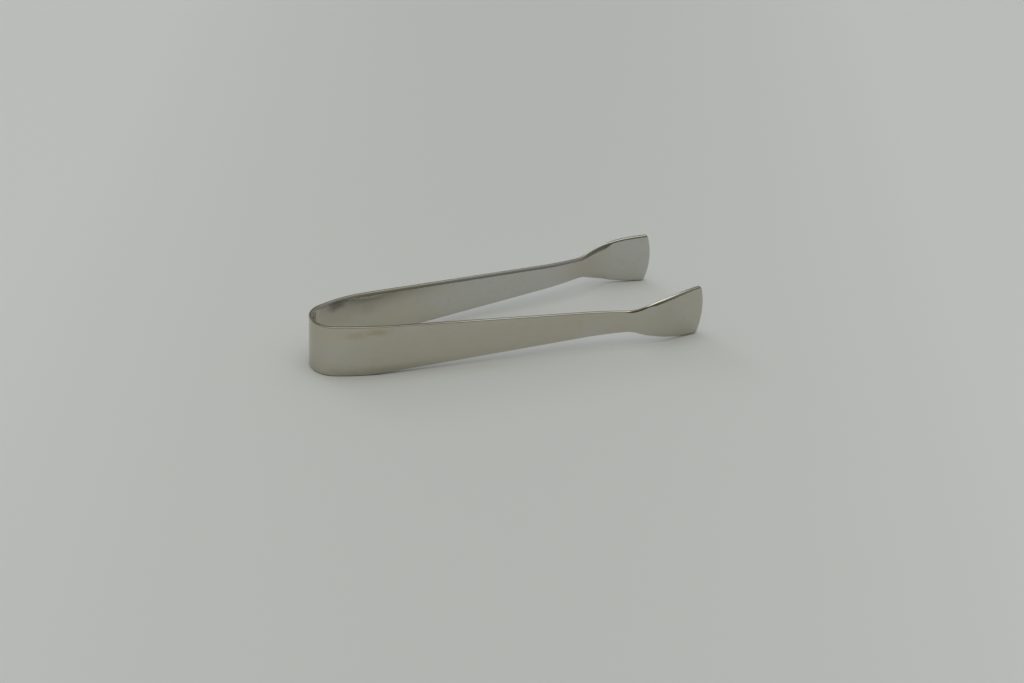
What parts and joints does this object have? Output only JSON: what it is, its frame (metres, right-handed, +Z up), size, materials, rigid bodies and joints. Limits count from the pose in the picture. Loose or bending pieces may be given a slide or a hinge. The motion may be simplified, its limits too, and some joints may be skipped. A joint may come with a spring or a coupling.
{
  "type": "ice tongs",
  "caption": "Sprung U-shaped tongs bent from one satin stainless steel strip, with tapering arms and flared spade jaws, for sugar lumps and small ice.",
  "frame": {"origin": "on the resting plane, under the middle of the bounding box, midway between the two arms", "axes": "+X from the bow towards the jaws, +Y across the gap to the far arm, +Z up the width of the strip"},
  "size_m": [0.11, 0.0368, 0.015],
  "materials": {
    "stainless_strip": "satin-polished stainless steel with a faint lengthwise grain and bright rounded edges"
  },
  "bodies": {
    "bow": {"bow_crown": "stainless_strip"},
    "near_spring": {"near_shoulder": "stainless_strip", "near_arm_root": "stainless_strip"},
    "near_arm_and_jaw": {"near_arm": "stainless_strip", "near_neck": "stainless_strip", "near_jaw": "stainless_strip"},
    "far_spring": {"far_shoulder": "stainless_strip", "far_arm_root": "stainless_strip"},
    "far_arm_and_jaw": {"far_arm": "stainless_strip", "far_neck": "stainless_strip", "far_jaw": "stainless_strip"}
  },
  "joints": [
    {"name": "near_bow_flex", "type": "hinge", "parent": "bow", "child": "near_spring", "pos_m": [-0.05029, -0.00598, 0.0075], "axis": [0, 0, 1], "range_deg": [0, 4.4], "stiffness_Nm_per_rad": 22.5},
    {"name": "near_arm_flex", "type": "hinge", "parent": "near_spring", "child": "near_arm_and_jaw", "pos_m": [-0.0195, -0.01085, 0.0075], "axis": [0, 0, 1], "range_deg": [0, 5.59], "stiffness_Nm_per_rad": 9.1},
    {"name": "far_bow_flex", "type": "hinge", "parent": "bow", "child": "far_spring", "pos_m": [-0.05029, 0.00598, 0.0075], "axis": [0, 0, 1], "range_deg": [-4.4, 0], "stiffness_Nm_per_rad": 22.5},
    {"name": "far_arm_flex", "type": "hinge", "parent": "far_spring", "child": "far_arm_and_jaw", "pos_m": [-0.0195, 0.01085, 0.0075], "axis": [0, 0, 1], "range_deg": [-5.59, 0], "stiffness_Nm_per_rad": 9.1}
  ],
  "couplings": [
    {"joint": "near_arm_flex", "follows": "near_bow_flex", "ratio": 1.27},
    {"joint": "far_bow_flex", "follows": "near_bow_flex", "ratio": -1},
    {"joint": "far_arm_flex", "follows": "near_bow_flex", "ratio": -1.27}
  ]
}
